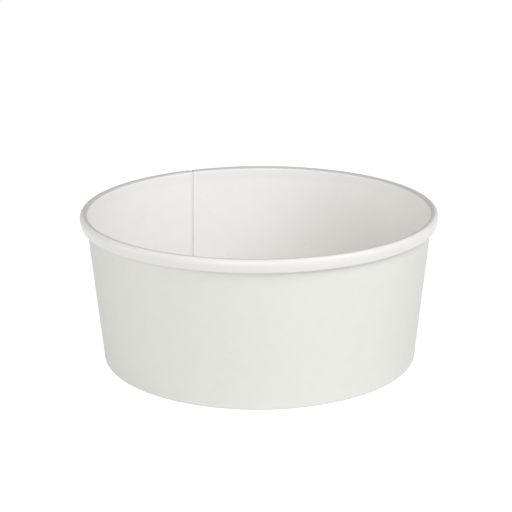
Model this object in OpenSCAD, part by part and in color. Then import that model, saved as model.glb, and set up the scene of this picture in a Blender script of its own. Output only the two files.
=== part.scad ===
// Paper salad bowl: a conical board wall with a rolled rim, a lapped side seam and a hemmed foot,
// and a bottom disc whose skirt is sealed into the foot.
// Origin: centre of the foot, on the table. +Z is up, and the seam is at the back, away from -Y.

/* [Bowl] */
// Diameter across the outside of the rolled rim
rim_d = 150; // [125:1:190]
// Diameter of the foot, on the outside of the wall at the table
foot_d = 133.4; // [100:0.2:142]
// Height from the table to the top of the rim
bowl_h = 63.5; // [40:0.5:110]
// Thickness of the coated board
board_t = 0.45; // [0.3:0.01:0.55]

/* [Rolled rim] */
// Width of the roll, from the bowl's inside face to its outermost edge
roll_w = 3.4; // [3.2:0.1:5]
// Height of the roll
roll_h = 5.5; // [4.6:0.1:8]
// Width of the flat on top of the roll, between its two round shoulders
roll_flat = 0.1; // [0.05:0.05:0.6]
// Where the roll is widest, as a share of its height above its lower edge
roll_belly = 0.62; // [0.5:0.01:0.7]
// How much farther in the roll's outer shoulder and its lower edge lie than its widest line
roll_shoulder_in = 0.4; // [0.1:0.05:0.6]
roll_low_in = 0.7; // [0.1:0.05:0.8]
// Outside radius of the roll's lower edge
roll_low_r = 1; // [0.7:0.05:1.1]
// Radius of the gentle bend where the sloping wall turns upright under the roll
flare_r = 6; // [3:0.5:12]
// Inside radius of the bend where the board turns up into the roll
tuck_r = 0.15; // [0.05:0.05:0.3]
// Length of board that stands up inside the roll
tuck_h = 2.2; // [1.2:0.1:2.8]
// Air between the doubled wall and the board that stands beside it in the roll
tuck_gap = 0.1; // [0.05:0.05:0.2]

/* [Side seam] */
// Direction of the inner board edge at the rim, anticlockwise from +X
seam_az = 114.9; // [0:0.1:359]
// Width of the sealed overlap
seam_w = 8; // [4:0.5:14]
// Angle between the seam and the wall's own slope line
seam_lean = 3.5; // [-5:0.1:5]
// Width over which the outer layer steps back beside the inner board edge
seam_step_w = 2; // [1:0.1:4]
// Height above the foot's fold over which the doubled board is pressed down to one
seam_press_h = 3; // [1:0.5:5]

/* [Foot] */
// Height of the hem, from the table to its free edge
hem_h = 5.2; // [2:0.1:9]
// Inside radius of the two folds under the foot
fold_r = 0.08; // [0.04:0.01:0.12]
// Inside radius of the bend between the bottom disc and its skirt
base_r = 0.8; // [0.3:0.1:2]
// Room between the hem's free edge and that bend
hem_gap = 1; // [0.3:0.1:4]
// Room between the skirt's lower edge and the fold
skirt_gap = 0.3; // [0.1:0.1:1]
// Film of melted coating between two sealed layers
seal_t = 0.02; // [0.01:0.005:0.04]

/* [Hidden] */
$fn = 180;

// Largest turn of one straight piece of a bend, and pieces along the wall, the overlap and the step
bend_step = 15;
wall_n = 6;
lap_n = 4;
step_n = 3;

half_t = board_t / 2;
layer = board_t + seal_t;

// Middle line of the wall, from the fold under the foot to the underside of the roll
wall_foot = [foot_d / 2 - half_t, half_t];
wall_top = [rim_d / 2 - roll_w + half_t, bowl_h - roll_h];
wall_dir = (wall_top - wall_foot) / norm(wall_top - wall_foot);

// Radius of the wall's middle line at a height, or of the sealed layers that line it inside
function wall_at(z, layers = 0) =
    wall_foot[0] + (z - half_t) * wall_dir[0] / wall_dir[1] - layers * layer / wall_dir[1];

// Middle lines of the roll, and of the board tucked up in it, which clears the doubled wall
roll_in = wall_top[0];
roll_out = rim_d / 2 - half_t;
roll_high = bowl_h - half_t;
roll_low = bowl_h - roll_h + half_t;
tuck_at = rim_d / 2 - roll_w + 2 * board_t + tuck_gap + half_t;

// The roll's outer side, from its shoulder over the belly to its lower edge, and its two slants
shoulder = [roll_out - roll_shoulder_in, roll_high];
belly = [roll_out, bowl_h - roll_h * (1 - roll_belly)];
low_edge = [roll_out - roll_low_in, roll_low];
upper_slant = atan((belly[0] - shoulder[0]) / (shoulder[1] - belly[1]));
lower_slant = atan((belly[0] - low_edge[0]) / (belly[1] - low_edge[1]));

// Bend radii of the middle line, the belly's as large as the bends above and below it leave room for
fold_mid_r = fold_r + half_t;
shoulder_half = tan(45 - upper_slant / 2);
roll_mid_r = (shoulder[0] - roll_in - roll_flat) / (1 + shoulder_half);
roll_low_mid_r = roll_low_r - half_t;
belly_mid_r = 0.9 / tan((upper_slant + lower_slant) / 2) * min(
    norm(belly - shoulder) - roll_mid_r * shoulder_half,
    norm(low_edge - belly) - roll_low_mid_r * tan(45 - lower_slant / 2));

// The belly's bend cuts its corner, so the outer side's corners lie that much farther out
bulge = [belly_mid_r * (1 / cos((upper_slant + lower_slant) / 2) - 1), 0];
tuck_mid_r = tuck_r + half_t;
base_mid_r = base_r + half_t;

// End of the fold under the foot, underside of the bottom disc, and lower edge of its skirt
fold_end = half_t + 2 * fold_mid_r;
base_lift = hem_h + hem_gap + base_r;
skirt_low = board_t + skirt_gap;

function unit(v) = v / norm(v);
function left_of(v) = [-v[1], v[0]];
function mix(a, b, part) = a + (b - a) * part;
function reverse(list) = [for (i = [len(list) - 1 : -1 : 0]) list[i]];

// Points of the bend of radius r at corner b, on the way from a to c. With a shift of a half they lie
// midway between those without one
function bend(a, b, c, r, shift) =
    let (go = unit(b - a), turn = acos(go * unit(c - b)), side = sign(cross(b - a, c - b)))
    let (centre = b - go * r * tan(turn / 2) + left_of(go) * side * r, pieces = ceil(turn / bend_step))
    [for (i = [shift : pieces]) let (at = turn * i / pieces)
        centre - left_of(go) * side * r * cos(at) + go * r * sin(at)];

// Middle line of a board through corners given as [[radius, height], bend radius], up to one of them
function middle_line(corners, last, shift = 0) = [for (i = [0 : last])
    let (place = corners[i][0], r = corners[i][1])
    each r == 0 ? [place] : bend(corners[i - 1][0], place, corners[i + 1][0], r, shift)];

// A line moved to its own right, by one distance at each of its points
function moved(line, by) = [for (i = [0 : len(line) - 1])
    let (last = len(line) - 1, here = line[i])
    let (u = i == 0 ? unit(line[1] - here) : unit(here - line[i - 1]))
    let (v = i == last ? u : unit(line[i + 1] - here))
    let (left = unit(left_of(u) + left_of(v)))
    here - left * by[i] / (left * left_of(u))];

// Closed outline of a board, half its thickness to each side of its middle line
function outline(line) = let (half = [for (p = line) half_t])
    concat(moved(line, -half), reverse(moved(line, half)));

// The wall's board: from the hem's free edge, under the foot, up the wall, round the roll and into it
hem_corners = [
    [[wall_at(hem_h, 2), hem_h], 0],
    [[wall_at(half_t, 2), half_t], fold_mid_r],
    [[wall_at(half_t), half_t], fold_mid_r],
];
roll_corners = [
    [wall_top, flare_r],
    [[roll_in, roll_high], roll_mid_r],
    [shoulder + bulge, roll_mid_r],
    [belly + bulge, belly_mid_r],
    [low_edge + bulge, roll_low_mid_r],
    [[tuck_at, roll_low], tuck_mid_r],
    [[tuck_at, roll_low + tuck_h], 0],
];
wall_board = middle_line(concat(hem_corners, roll_corners), 9);

// The bottom disc's board: from the skirt's lower edge to the axis
disc_board = middle_line([
    [[wall_at(skirt_low, 1), skirt_low], 0],
    [[wall_at(base_lift + half_t, 1), base_lift + half_t], base_mid_r],
    [[0, base_lift + half_t], 0],
], 2);

// The part of the wall's board that the seam doubles: from above the fold to the roll's lower edge
lapped_heights = concat(fold_end, [for (i = [0 : wall_n - 1])
    mix(fold_end + seam_press_h, wall_top[1] - layer, i / (wall_n - 1))]);
lapped = middle_line(concat([for (z = lapped_heights) [[wall_at(z), z], 0]], roll_corners), wall_n + 5, 0.5);

// Share of the second layer at one of its points: none at both ends, where it dips into the board
sink = 0.1;
function press(i) = i == 0 ? -sink
    : min(1, mix(-sink, 1, (len(lapped) - 1 - i) * bend_step / (90 - bend_step)));

// The lapped board's middle line moved outwards, and then by up to a share of one more layer
function level(by) = [for (p = lapped) by];
function raised(by, share) = [for (i = [0 : len(lapped) - 1]) by + board_t * min(share, press(i))];

// The seam, in degrees round the axis from the inner board edge at the rim
degree_per_mm = 360 / (PI * (rim_d + foot_d) / 2);
lap = seam_w * degree_per_mm;
step = seam_step_w * degree_per_mm;
lean_at_foot = bowl_h * tan(seam_lean) * degree_per_mm;

// A face of the lapped board at a place round the seam
function seam_line(degrees, by) = [for (p = moved(lapped, by))
    let (az = seam_az + degrees + lean_at_foot * (1 - p[1] / bowl_h))
    [p[0] * cos(az), p[0] * sin(az), p[1]]];

// Places across the step beside the inner board edge: [degrees, share of a layer still left]
step_spots = [for (i = [0 : step_n]) [step * i / step_n, mix(1, -sink, i / step_n)]];

// Closed solid between two grids of points, each a list of rows of one length
module slab(near, far) {
    rows = len(near);
    n = len(near[0]);
    all = rows * n;
    faces = concat(
        [for (k = [0 : rows - 2], i = [0 : n - 2]) let (a = k * n + i, b = all + a)
            each [[a, a + n + 1, a + 1], [a, a + n, a + n + 1],
                [b, b + 1, b + n + 1], [b, b + n + 1, b + n]]],
        [for (i = [0 : n - 2]) let (a = i, b = all - n + i)
            each [[a, all + a + 1, all + a], [a, a + 1, all + a + 1],
                [b, all + b, all + b + 1], [b, all + b + 1, b + 1]]],
        [for (k = [0 : rows - 2]) let (a = k * n, b = a + n - 1)
            each [[a, all + a, all + a + n], [a, all + a + n, a + n],
                [b, all + b + n, all + b], [b, b + n, all + b + n]]]);
    polyhedron([for (row = concat(near, far)) each row], faces);
}

// The seam's outer layer: from its own free edge it lies on the inner layer, and past the inner
// layer's edge it steps back into the wall
module outer_layer() {
    spots = concat([for (i = [0 : lap_n - 1]) [lap * (i / lap_n - 1), 1]], step_spots);
    slab([for (s = spots) seam_line(s[0], level(0))],
        [for (s = spots) seam_line(s[0], raised(half_t, s[1]))]);
}

// The groove inside the bowl, from the inner layer's edge to where the outer layer has stepped back
module groove() {
    slab([for (s = step_spots) seam_line(s[0], level(-half_t - board_t))],
        [for (s = step_spots) seam_line(s[0], raised(-half_t, s[1]))]);
}

module side_wall() {
    color("#f0efec")
        difference() {
            union() {
                rotate_extrude()
                    polygon(outline(wall_board));
                outer_layer();
            }
            groove();
        }
}

module base() {
    color("#e9e8e3")
        rotate_extrude()
            polygon(outline(disc_board));
}

side_wall();
base();
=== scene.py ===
import math
import bpy
from mathutils import Euler, Matrix, Vector


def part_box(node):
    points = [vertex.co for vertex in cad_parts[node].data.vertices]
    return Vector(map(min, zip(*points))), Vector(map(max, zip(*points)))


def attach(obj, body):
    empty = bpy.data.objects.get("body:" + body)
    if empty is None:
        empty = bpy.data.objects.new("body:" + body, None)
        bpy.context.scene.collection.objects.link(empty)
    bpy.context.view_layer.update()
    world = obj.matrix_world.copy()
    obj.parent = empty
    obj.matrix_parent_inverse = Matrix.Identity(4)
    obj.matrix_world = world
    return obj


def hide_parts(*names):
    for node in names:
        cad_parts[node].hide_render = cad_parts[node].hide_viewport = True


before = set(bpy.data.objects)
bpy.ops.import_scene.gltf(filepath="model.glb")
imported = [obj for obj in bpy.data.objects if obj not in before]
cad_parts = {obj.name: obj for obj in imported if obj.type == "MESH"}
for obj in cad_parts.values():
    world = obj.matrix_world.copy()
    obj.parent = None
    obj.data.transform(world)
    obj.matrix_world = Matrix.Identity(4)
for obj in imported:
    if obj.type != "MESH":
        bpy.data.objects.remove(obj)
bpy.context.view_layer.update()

mm = 0.001
print("frame loaded:", sorted(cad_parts))


# Small helpers

def linearColour(hexCode):        # sRGB hex to the linear colour that a shader takes
    channels = [int(hexCode[i:i + 2], 16) / 255 for i in (1, 3, 5)]
    return [c / 12.92 if c <= 0.04045 else ((c + 0.055) / 1.055) ** 2.4 for c in channels] + [1]


def addNode(tree, kind, settings, links=()):        # one node with its settings and its links
    node = tree.nodes.new(kind)
    for name, value in settings.items():
        if name in node.inputs:
            node.inputs[name].default_value = value
        else:
            setattr(node, name, value)
    for socket, source in links:
        tree.links.new(source, node.inputs[socket])
    return node


def deselectAll():
    bpy.ops.object.select_all(action="DESELECT")


# The board's middle line, in millimetres: a list of (radius from the axis, height)

def bendPoints(before, corner, after, radius, degreesEach):
    into = (Vector(corner) - Vector(before)).normalized()
    out = (Vector(after) - Vector(corner)).normalized()
    turn = into.angle(out)
    side = 1 if into.x * out.y - into.y * out.x > 0 else -1
    left = Vector((-into.y, into.x)) * side
    centre = Vector(corner) - into * radius * math.tan(turn / 2) + left * radius
    pieces = max(1, math.ceil(math.degrees(turn) / degreesEach))
    turns = [turn * i / pieces for i in range(pieces + 1)]
    return [tuple(centre - left * radius * math.cos(t) + into * radius * math.sin(t)) for t in turns]


def middleLine(corners):        # corners are (radius, height, bend radius, degrees each)
    line = []
    for i, (r, z, bend, degreesEach) in enumerate(corners):
        if bend == 0:
            line.append((r, z))
        else:
            line += bendPoints(corners[i - 1][:2], (r, z), corners[i + 1][:2], bend, degreesEach)
    return line


def rightOf(line, i):        # unit vector to the right of the line at one of its points
    before = Vector(line[max(i - 1, 0)])
    after = Vector(line[min(i + 1, len(line) - 1)])
    go = (after - before).normalized()
    return go.y, -go.x


board = {
    "thickness": 0.45,
    "footDiameter": 133.4,    # outside of the wall at the table
    "seal": 0.02,             # film of melted coating between two sealed layers
    "hemHeight": 5.2,
    "foldRadius": 0.08,
    "discBend": 0.8,
    "smoothBend": 7.5,        # degrees to each piece of a bend that shows
    "tightBend": 15,          # the same in a bend under half a millimetre
    "hemRows": (3.4, 1.8),    # heights of the points along the hem
    "wallRows": 12,           # pieces along the sloping wall
    "discSteps": 240,         # steps of the spin of the bottom disc, and its rings as shares of the foot
    "discRings": (0.8, 0.6, 0.4, 0.2, 0.05),
    "smoothAngle": 35,        # degrees between faces, above which an edge stays sharp
}
rim = {
    "width": 3.4,
    "height": 5.5,
    "flat": 0.1,
    "belly": 0.62,            # share of the roll's height above its lower edge at which it is widest
    "shoulderIn": 0.4,        # how much farther in its shoulder and its lower edge lie
    "lowIn": 0.7,
    "lowRadius": 1.0,
    "flareRadius": 6,
    "tuckRadius": 0.15,
    "tuckHeight": 2.2,
    "tuckGap": 0.1,
}
seam = {
    "azimuth": 114.9,         # of the inner board edge at the rim, degrees anticlockwise from +X
    "width": 8,
    "lean": 3.5,              # degrees between the seam and the wall's slope line
    "stepWidth": 2,           # the outer layer steps back over this width beside the inner edge
    "pressHeight": 3,
    "pressedFlat": 0.01,      # share of the layer that still shows where the hem and the tuck press it flat
    "turnSteps": 236,         # steps of the spin round the bowl, across the step, and along the overlap
    "stepSteps": 14,
    "lapSteps": 8,
}

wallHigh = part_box("side_wall")[1]
discLow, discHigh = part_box("base")
rimRadius = max(wallHigh) / mm
bowlHeight = wallHigh.z / mm
halfBoard = board["thickness"] / 2
layer = board["thickness"] + board["seal"]
footRadius = board["footDiameter"] / 2
wallTopRadius = rimRadius - rim["width"] + halfBoard
wallTopHeight = bowlHeight - rim["height"]
wallSlope = (wallTopRadius - footRadius + halfBoard) / (wallTopHeight - halfBoard)


def wallAt(height, layers=0):        # radius of the wall's middle line, or of the layers that line it
    lining = layers * layer * math.hypot(1, wallSlope)
    return footRadius - halfBoard + (height - halfBoard) * wallSlope - lining


# Board pieces: a profile is laid point by point, spun round the axis and given its thickness

def layProfile(name, line):        # the middle line as a string of edges in the XZ plane
    deselectAll()
    bpy.ops.mesh.primitive_plane_add(size=mm, location=(line[0][0] * mm, 0, line[0][1] * mm))
    piece = bpy.context.object
    piece.name = name
    bpy.ops.object.transform_apply(location=True, rotation=True, scale=True)
    bpy.ops.object.mode_set(mode="EDIT")
    bpy.ops.mesh.select_all(action="SELECT")
    bpy.ops.mesh.merge(type="CENTER")
    for here, there in zip(line, line[1:]):
        stepOut, stepUp = there[0] - here[0], there[1] - here[1]
        bpy.ops.mesh.extrude_region_move(TRANSFORM_OT_translate={"value": (stepOut * mm, 0, stepUp * mm)})
    bpy.ops.mesh.select_all(action="SELECT")
    return piece


def spinOn(degrees, steps):        # sweeps what is selected on round the axis, anticlockwise from above
    bpy.ops.mesh.spin(steps=steps, angle=math.radians(-degrees), center=(0, 0, 0), axis=(0, 0, 1))


def thicken(piece, materials):        # outside, inside and cut edge of the board, in that order
    for material in materials:
        piece.data.materials.append(material)
    solid = piece.modifiers.new("boardThickness", "SOLIDIFY")
    solid.thickness = board["thickness"] * mm
    solid.offset = 0
    solid.use_even_offset = True
    solid.use_quality_normals = True
    solid.material_offset = 1
    solid.material_offset_rim = 2
    deselectAll()
    piece.select_set(True)
    bpy.context.view_layer.objects.active = piece
    bpy.ops.object.modifier_apply(modifier=solid.name)
    bpy.ops.object.shade_smooth_by_angle(angle=math.radians(board["smoothAngle"]))


def faceOutwards(piece, test):        # turns the sheet over if its face nearest to a point looks inwards
    face = min(piece.data.polygons, key=lambda f: (f.center - test).length)
    if face.normal.dot(test) < 0:
        bpy.ops.object.mode_set(mode="EDIT")
        bpy.ops.mesh.select_all(action="SELECT")
        bpy.ops.mesh.flip_normals()
        bpy.ops.object.mode_set(mode="OBJECT")


def buildWall(materials):
    smooth, tight = board["smoothBend"], board["tightBend"]
    foldMid = board["foldRadius"] + halfBoard
    rollOut = rimRadius - halfBoard
    rollLow = wallTopHeight + halfBoard
    shoulder = Vector((rollOut - rim["shoulderIn"], bowlHeight - halfBoard))
    belly = Vector((rollOut, bowlHeight - rim["height"] * (1 - rim["belly"])))
    lowEdge = Vector((rollOut - rim["lowIn"], rollLow))
    upperSlant = math.atan2(belly.x - shoulder.x, shoulder.y - belly.y)
    lowerSlant = math.atan2(belly.x - lowEdge.x, belly.y - lowEdge.y)
    shoulderHalf = math.tan(math.pi / 4 - upperSlant / 2)
    rollMid = (shoulder.x - wallTopRadius - rim["flat"]) / (1 + shoulderHalf)
    lowMid = rim["lowRadius"] - halfBoard
    bellyRoom = min((belly - shoulder).length - rollMid * shoulderHalf,
                    (lowEdge - belly).length - lowMid * math.tan(math.pi / 4 - lowerSlant / 2))
    bellyMid = 0.9 * bellyRoom / math.tan((upperSlant + lowerSlant) / 2)
    bulge = Vector((bellyMid / math.cos((upperSlant + lowerSlant) / 2) - bellyMid, 0))
    shoulder, belly, lowEdge = shoulder + bulge, belly + bulge, lowEdge + bulge
    tuckAt = rimRadius - rim["width"] + 2 * board["thickness"] + rim["tuckGap"] + halfBoard
    foldEnd = halfBoard + 2 * foldMid
    pressEnd = foldEnd + seam["pressHeight"]
    rows = board["wallRows"]
    levels = [pressEnd + (wallTopHeight - layer - pressEnd) * i / rows for i in range(rows + 1)]
    line = middleLine(
        [(wallAt(board["hemHeight"], 2), board["hemHeight"], 0, 0)]
        + [(wallAt(z, 2), z, 0, 0) for z in board["hemRows"]]
        + [(wallAt(halfBoard, layers), halfBoard, foldMid, tight) for layers in (2, 0)]
        + [(wallAt(z), z, 0, 0) for z in (foldEnd, (foldEnd + pressEnd) / 2)]
        + [(wallAt(z), z, 0, 0) for z in levels]
        + [(wallTopRadius, wallTopHeight, rim["flareRadius"], smooth / 4),
           (wallTopRadius, shoulder.y, rollMid, smooth),
           (shoulder.x, shoulder.y, rollMid, smooth),
           (belly.x, belly.y, bellyMid, smooth / 2),
           (lowEdge.x, lowEdge.y, lowMid, smooth),
           (tuckAt, rollLow, rim["tuckRadius"] + halfBoard, tight),
           (tuckAt, rollLow + rim["tuckHeight"], 0, 0)])
    degreePerMm = 360 / (math.pi * (rimRadius + footRadius))
    step = seam["stepWidth"] * degreePerMm
    lap = seam["width"] * degreePerMm
    leanAtFoot = bowlHeight * math.tan(math.radians(seam["lean"])) * degreePerMm

    piece = layProfile("bowlWall", line)
    spinOn(step - 360, seam["turnSteps"])
    bpy.ops.object.mode_set(mode="OBJECT")
    wholeTurn = len(piece.data.vertices)
    bpy.ops.object.mode_set(mode="EDIT")
    spinOn(-step, seam["stepSteps"])
    spinOn(-lap, seam["lapSteps"])
    bpy.ops.object.mode_set(mode="OBJECT")
    faceOutwards(piece, Vector((0, -footRadius * mm, bowlHeight / 2 * mm)))

    sides = [rightOf(line, i) for i in range(len(line))]
    outermost = max(range(len(line)), key=lambda i: line[i][0])
    flat = seam["pressedFlat"]

    def pressed(i):        # share of the second layer's thickness at a point of the line
        r, z = line[i]
        if z < foldEnd or r < wallAt(z, 1):
            return flat
        if i <= outermost:
            return max(flat, min(1, (z - foldEnd) / seam["pressHeight"]))
        if r > lowEdge.x - lowMid:
            return max(flat, min(1, (z - rollLow) / lowMid))
        return flat

    for vertex in piece.data.vertices:
        r = math.hypot(vertex.co.x, vertex.co.y) / mm
        z = vertex.co.z / mm
        turn = math.degrees(math.atan2(vertex.co.y, vertex.co.x))
        if vertex.index >= wholeTurn:
            i = min(range(len(line)), key=lambda k: (line[k][0] - r) ** 2 + (line[k][1] - z) ** 2)
            part = min(1, max(0, 1 - turn / step))
            lift = (layer * part * part * (3 - 2 * part)) * pressed(i)
            r += sides[i][0] * lift
            z += sides[i][1] * lift
        angle = math.radians(seam["azimuth"] + turn + leanAtFoot * (1 - z / bowlHeight))
        vertex.co = (r * math.cos(angle) * mm, r * math.sin(angle) * mm, z * mm)
    thicken(piece, materials)
    return piece


def buildDisc(materials):
    skirtLow = discLow.z / mm
    top = discHigh.z / mm - halfBoard
    bend = board["discBend"] + halfBoard
    line = middleLine(
        [(wallAt(skirtLow, 1), skirtLow, 0, 0), (wallAt(top, 1), top, bend, board["smoothBend"])]
        + [(footRadius * share, top, 0, 0) for share in board["discRings"]]
        + [(0, top, 0, 0)])
    piece = layProfile("bottomDisc", line)
    spinOn(360, board["discSteps"])
    bpy.ops.mesh.select_all(action="SELECT")
    bpy.ops.mesh.remove_doubles(threshold=0.001 * mm)
    bpy.ops.mesh.normals_make_consistent(inside=False)
    bpy.ops.object.mode_set(mode="OBJECT")
    faceOutwards(piece, Vector((0, -footRadius * mm, 3 * mm)))
    thicken(piece, materials)
    return piece


# Materials

def newMaterial(name):
    material = bpy.data.materials.new(name)
    material.use_nodes = True
    material.node_tree.nodes.clear()
    return material, material.node_tree


def boardMaterial(name, finish):
    noiseLow, noiseHigh = 0.3, 0.7        # nearly all of a noise lies between these
    shiveFade = 0.03                      # of the noise, over which a shive fades in
    material, tree = newMaterial(name)
    place = addNode(tree, "ShaderNodeTexCoord", {}).outputs["Object"]
    cloud = addNode(tree, "ShaderNodeTexNoise",
                    {"Scale": 1 / (finish["cloudSize"] * mm), "Detail": 4.0, "Roughness": 0.55},
                    [("Vector", place)])
    fibre = addNode(tree, "ShaderNodeTexNoise",
                    {"Scale": 1 / (finish["fibreSize"] * mm), "Detail": 6.0, "Roughness": 0.65},
                    [("Vector", place)])
    colour = addNode(tree, "ShaderNodeMix", {"data_type": "RGBA"}, [(0, cloud.outputs["Fac"])])
    colour.inputs[6].default_value = linearColour(finish["dark"])
    colour.inputs[7].default_value = linearColour(finish["light"])

    # Shives: single unbleached fibre bundles in the pulp, one or two on a few square centimetres
    shive = addNode(tree, "ShaderNodeTexNoise",
                    {"Scale": 1 / (finish["shiveSize"] * mm), "Detail": 0.0, "Distortion": 0.6},
                    [("Vector", place)])
    shiveFrom = finish["shiveFrom"]
    shiveHere = addNode(tree, "ShaderNodeMapRange",
                        {"From Min": shiveFrom, "From Max": shiveFrom + shiveFade,
                         "To Max": finish["shiveDepth"]},
                        [("Value", shive.outputs["Fac"])])
    flecked = addNode(tree, "ShaderNodeMix", {"data_type": "RGBA"},
                      [(0, shiveHere.outputs[0]), (6, colour.outputs[2])])
    flecked.inputs[7].default_value = linearColour(finish["shive"])
    colour = flecked

    # The rolled rim has painted shade: a thin grey line on its inner shoulder, where the roll's top faces
    # up and gets little light. The roll's outer face is also made a little greyer all round. Each band
    # fades in between two heights or radii
    if "paintedShadeGrey" in finish:
        flatPlace = addNode(tree, "ShaderNodeVectorMath", {"operation": "MULTIPLY"}, [(0, place)])
        flatPlace.inputs[1].default_value = (1, 1, 0)
        radius = addNode(tree, "ShaderNodeVectorMath", {"operation": "LENGTH"}, [(0, flatPlace.outputs[0])])
        height = addNode(tree, "ShaderNodeSeparateXYZ", {}, [(0, place)])
        start, end = finish["shoulderShadeHeights"]
        high = addNode(tree, "ShaderNodeMapRange",
                       {"interpolation_type": "SMOOTHSTEP", "From Min": start * mm, "From Max": end * mm},
                       [("Value", height.outputs["Z"])])
        start, end = finish["shoulderShadeRadii"]
        inner = addNode(tree, "ShaderNodeMapRange",
                        {"interpolation_type": "SMOOTHSTEP", "From Min": start * mm, "From Max": end * mm},
                        [("Value", radius.outputs["Value"])])
        start, end = finish["rollGreyRadii"]
        outer = addNode(tree, "ShaderNodeMapRange",
                        {"interpolation_type": "SMOOTHSTEP", "From Min": start * mm, "From Max": end * mm},
                        [("Value", radius.outputs["Value"])])
        shoulder = addNode(tree, "ShaderNodeMath", {"operation": "MULTIPLY"},
                           [(0, high.outputs[0]), (1, inner.outputs[0])])
        allRound = addNode(tree, "ShaderNodeMath", {"operation": "MULTIPLY"}, [(0, outer.outputs[0])])
        allRound.inputs[1].default_value = finish["rollGreyAllRound"]
        share = addNode(tree, "ShaderNodeMath", {"operation": "MAXIMUM"},
                        [(0, shoulder.outputs[0]), (1, allRound.outputs[0])])
        # Mixes in the grey of the painted shade on the roll's shoulder, and of the slight greying all round
        paintedShadeGrey = addNode(tree, "ShaderNodeMix", {"data_type": "RGBA"},
                        [(0, share.outputs[0]), (6, colour.outputs[2])])
        paintedShadeGrey.inputs[7].default_value = linearColour(finish["paintedShadeGrey"])
        colour = paintedShadeGrey

    rough = addNode(tree, "ShaderNodeMapRange",
                    {"From Min": noiseLow, "From Max": noiseHigh,
                     "To Min": finish["roughLow"], "To Max": finish["roughHigh"]},
                    [("Value", fibre.outputs["Fac"])])
    bump = addNode(tree, "ShaderNodeBump",
                   {"Strength": finish["bump"], "Distance": finish["bumpHeight"] * mm},
                   [("Height", fibre.outputs["Fac"])])
    shader = addNode(tree, "ShaderNodeBsdfPrincipled",
                     {"IOR": 1.5, "Specular IOR Level": finish["specular"]},
                     [("Base Color", colour.outputs[2]), ("Roughness", rough.outputs[0]),
                      ("Normal", bump.outputs[0])])
    addNode(tree, "ShaderNodeOutputMaterial", {}, [("Surface", shader.outputs[0])])
    return material


# Sizes of the patterns and heights of the bumps are in mm. Real fibres are about 0.03 mm wide, so the
# fibre pattern is drawn coarser than real, to show at all

# Bleached board with a matt calendered face: white, barely green, softly cloudy, with no clear reflection
outsideBoard = boardMaterial("bleachedBoardMatt", {
    "light": "#E9EAE5", "dark": "#E4E5DF",
    "cloudSize": 5, "fibreSize": 0.9,
    "shive": "#A9A08C", "shiveSize": 1.4, "shiveFrom": 0.88, "shiveDepth": 0.18,
    "roughLow": 0.6, "roughHigh": 0.72, "bump": 0.25, "bumpHeight": 0.02, "specular": 0.25})
# The same board under a thin polyethylene film: whiter, smoother, with a soft highlight along the roll
insideBoard = boardMaterial("bleachedBoardCoated", {
    "light": "#F4F3F1", "dark": "#F0EEEC",
    # The grey and its bands below paint shade as a thin line on the roll's inner shoulder, and grey the
    # roll's outer face a little all round
    "paintedShadeGrey": "#CAC8C4", "rollGreyAllRound": 0.16,
    "shoulderShadeHeights": (bowlHeight - 1.0, bowlHeight - 0.45),
    "shoulderShadeRadii": (rimRadius - 0.6, rimRadius - 1.9),
    "rollGreyRadii": (rimRadius - 2.4, rimRadius - 1.2),
    "cloudSize": 6, "fibreSize": 1.1,
    "shive": "#A9A08C", "shiveSize": 1.4, "shiveFrom": 0.85, "shiveDepth": 0.18,
    "roughLow": 0.28, "roughHigh": 0.37, "bump": 0.15, "bumpHeight": 0.02, "specular": 0.5})
# Cut edge of the board: open fibres, warmer and rough
cutBoard = boardMaterial("cutBoardEdge", {
    "light": "#E6E2D8", "dark": "#D9D3C6",
    "cloudSize": 2, "fibreSize": 0.25,
    "shive": "#A9A08C", "shiveSize": 1.4, "shiveFrom": 0.88, "shiveDepth": 0.18,
    "roughLow": 0.85, "roughHigh": 0.95, "bump": 0.5, "bumpHeight": 0.03, "specular": 0.2})
print("materials made")

wall = buildWall([outsideBoard, insideBoard, cutBoard])
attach(wall, "root")
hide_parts("side_wall")
print("wall built:", len(wall.data.vertices), "vertices")

disc = buildDisc([insideBoard, outsideBoard, cutBoard])
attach(disc, "root")
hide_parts("base")
print("bottom disc built:", len(disc.data.vertices), "vertices")


# Floor, world, lamps and camera

studio = {
    "floorRadius": 0.9,
    "floorGlow": 0.88,        # the bare floor's own light for the camera, to which a share of lamp light
    "floorShare": 0.3,        # is added, so that the bowl's shadow stays
    "floorBounce": 0.74,      # how pale the floor is to the bowl that stands on it
    "worldStrength": 0.52,
    "worldColour": "#FFFDFA",
}


def buildFloor():
    deselectAll()
    bpy.ops.mesh.primitive_circle_add(vertices=96, radius=studio["floorRadius"], fill_type="NGON")
    floor = bpy.context.object
    floor.name = "paleFloor"
    bpy.ops.object.mode_set(mode="EDIT")
    bpy.ops.mesh.select_all(action="SELECT")
    bpy.ops.mesh.inset(thickness=studio["floorRadius"] / 2, depth=0)
    bpy.ops.object.mode_set(mode="OBJECT")
    material, tree = newMaterial("paleFloor")
    path = addNode(tree, "ShaderNodeLightPath", {})
    seen = addNode(tree, "ShaderNodeMath", {"operation": "MAXIMUM"})
    tree.links.new(path.outputs["Is Camera Ray"], seen.inputs[0])
    tree.links.new(path.outputs["Is Glossy Ray"], seen.inputs[1])
    plain = addNode(tree, "ShaderNodeBsdfDiffuse", {"Color": (studio["floorBounce"],) * 3 + (1,)})
    faint = addNode(tree, "ShaderNodeBsdfDiffuse", {"Color": (studio["floorShare"],) * 3 + (1,)})
    glow = addNode(tree, "ShaderNodeEmission", {"Color": (1, 1, 1, 1), "Strength": studio["floorGlow"]})
    white = addNode(tree, "ShaderNodeAddShader", {})
    tree.links.new(faint.outputs[0], white.inputs[0])
    tree.links.new(glow.outputs[0], white.inputs[1])
    both = addNode(tree, "ShaderNodeMixShader", {}, [(0, seen.outputs[0])])
    tree.links.new(plain.outputs[0], both.inputs[1])
    tree.links.new(white.outputs[0], both.inputs[2])
    addNode(tree, "ShaderNodeOutputMaterial", {}, [("Surface", both.outputs[0])])
    floor.data.materials.append(material)


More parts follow.
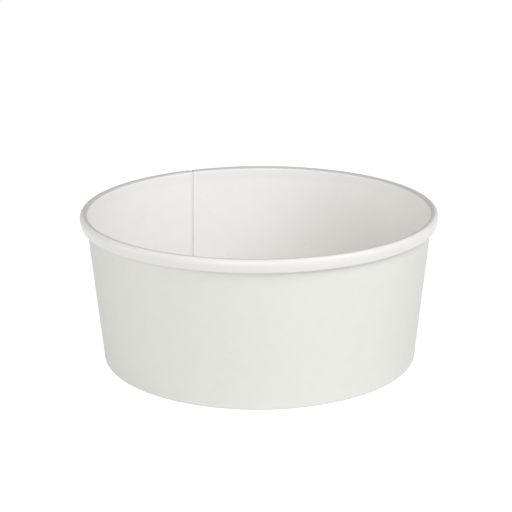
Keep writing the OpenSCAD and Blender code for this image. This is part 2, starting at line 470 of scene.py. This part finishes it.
def setWorld():
    world = bpy.data.worlds.new("softStudio")
    bpy.context.scene.world = world
    world.use_nodes = True
    tree = world.node_tree
    tree.nodes.clear()
    path = addNode(tree, "ShaderNodeLightPath", {})
    seen = addNode(tree, "ShaderNodeMath", {"operation": "MAXIMUM"})
    tree.links.new(path.outputs["Is Camera Ray"], seen.inputs[0])
    tree.links.new(path.outputs["Is Transmission Ray"], seen.inputs[1])
    room = addNode(tree, "ShaderNodeBackground",
                   {"Color": linearColour(studio["worldColour"]), "Strength": studio["worldStrength"]})
    back = addNode(tree, "ShaderNodeBackground", {"Color": (1, 1, 1, 1), "Strength": 1.0})
    both = addNode(tree, "ShaderNodeMixShader", {}, [(0, seen.outputs[0])])
    tree.links.new(room.outputs[0], both.inputs[1])
    tree.links.new(back.outputs[0], both.inputs[2])
    addNode(tree, "ShaderNodeOutputWorld", {}, [("Surface", both.outputs[0])])


# A lamp stands so many degrees to the right of the camera and above the table; its distance and size are
# in metres
def softLamp(name, side, height, distance, size, watts, colour):
    turn, up = math.radians(side - 90), math.radians(height)
    place = Vector((math.cos(turn) * math.cos(up), math.sin(turn) * math.cos(up), math.sin(up))) * distance
    lamp = bpy.data.lights.new(name, "AREA")
    lamp.shape = "DISK"
    lamp.size = size
    lamp.energy = watts
    lamp.color = linearColour(colour)[:3]
    holder = bpy.data.objects.new(name, lamp)
    bpy.context.scene.collection.objects.link(holder)
    holder.location = place + Vector((0, 0, bowlHeight / 2 * mm))
    holder.rotation_euler = (-place).to_track_quat("-Z", "Y").to_euler()


camera = {
    "aim": 30,                # height of the point that the distance is measured from
    "distance": 600.1,
    "height": 18.354,         # degrees above the table
    "pitch": 17.259,          # degrees that the camera looks down
    "yaw": -0.135,
    "roll": -0.318,
    "focalPixels": 1403.16,   # in a picture 512 pixels wide
    "picturePixels": 512,
    "sensor": 36,
}


def setCamera():
    data = bpy.data.cameras.new("photoCamera")
    data.sensor_width = camera["sensor"]
    data.lens = camera["focalPixels"] / camera["picturePixels"] * camera["sensor"]
    holder = bpy.data.objects.new("photoCamera", data)
    bpy.context.scene.collection.objects.link(holder)
    up = math.radians(camera["height"])
    aim = Vector((0, 0, camera["aim"] * mm))
    holder.location = aim + Vector((0, -math.cos(up), math.sin(up))) * camera["distance"] * mm
    look = Euler((math.radians(90 - camera["pitch"]), 0, math.radians(-camera["yaw"]))).to_matrix()
    look = look @ Matrix.Rotation(math.radians(camera["roll"]), 3, "Z")
    holder.rotation_euler = look.to_euler()
    bpy.context.scene.camera = holder


buildFloor()
setWorld()
softLamp("keyLamp", 55, 38, 1.2, 0.8, 6.1, "#FBFCFF")
softLamp("frontLamp", -14, 20, 1.2, 0.8, 3.9, "#FFFFFF")
softLamp("leftCard", -85, 6, 1.2, 0.4, 1.6, "#FFFFFF")
setCamera()
bpy.context.scene.view_settings.view_transform = "Standard"
print("studio set")
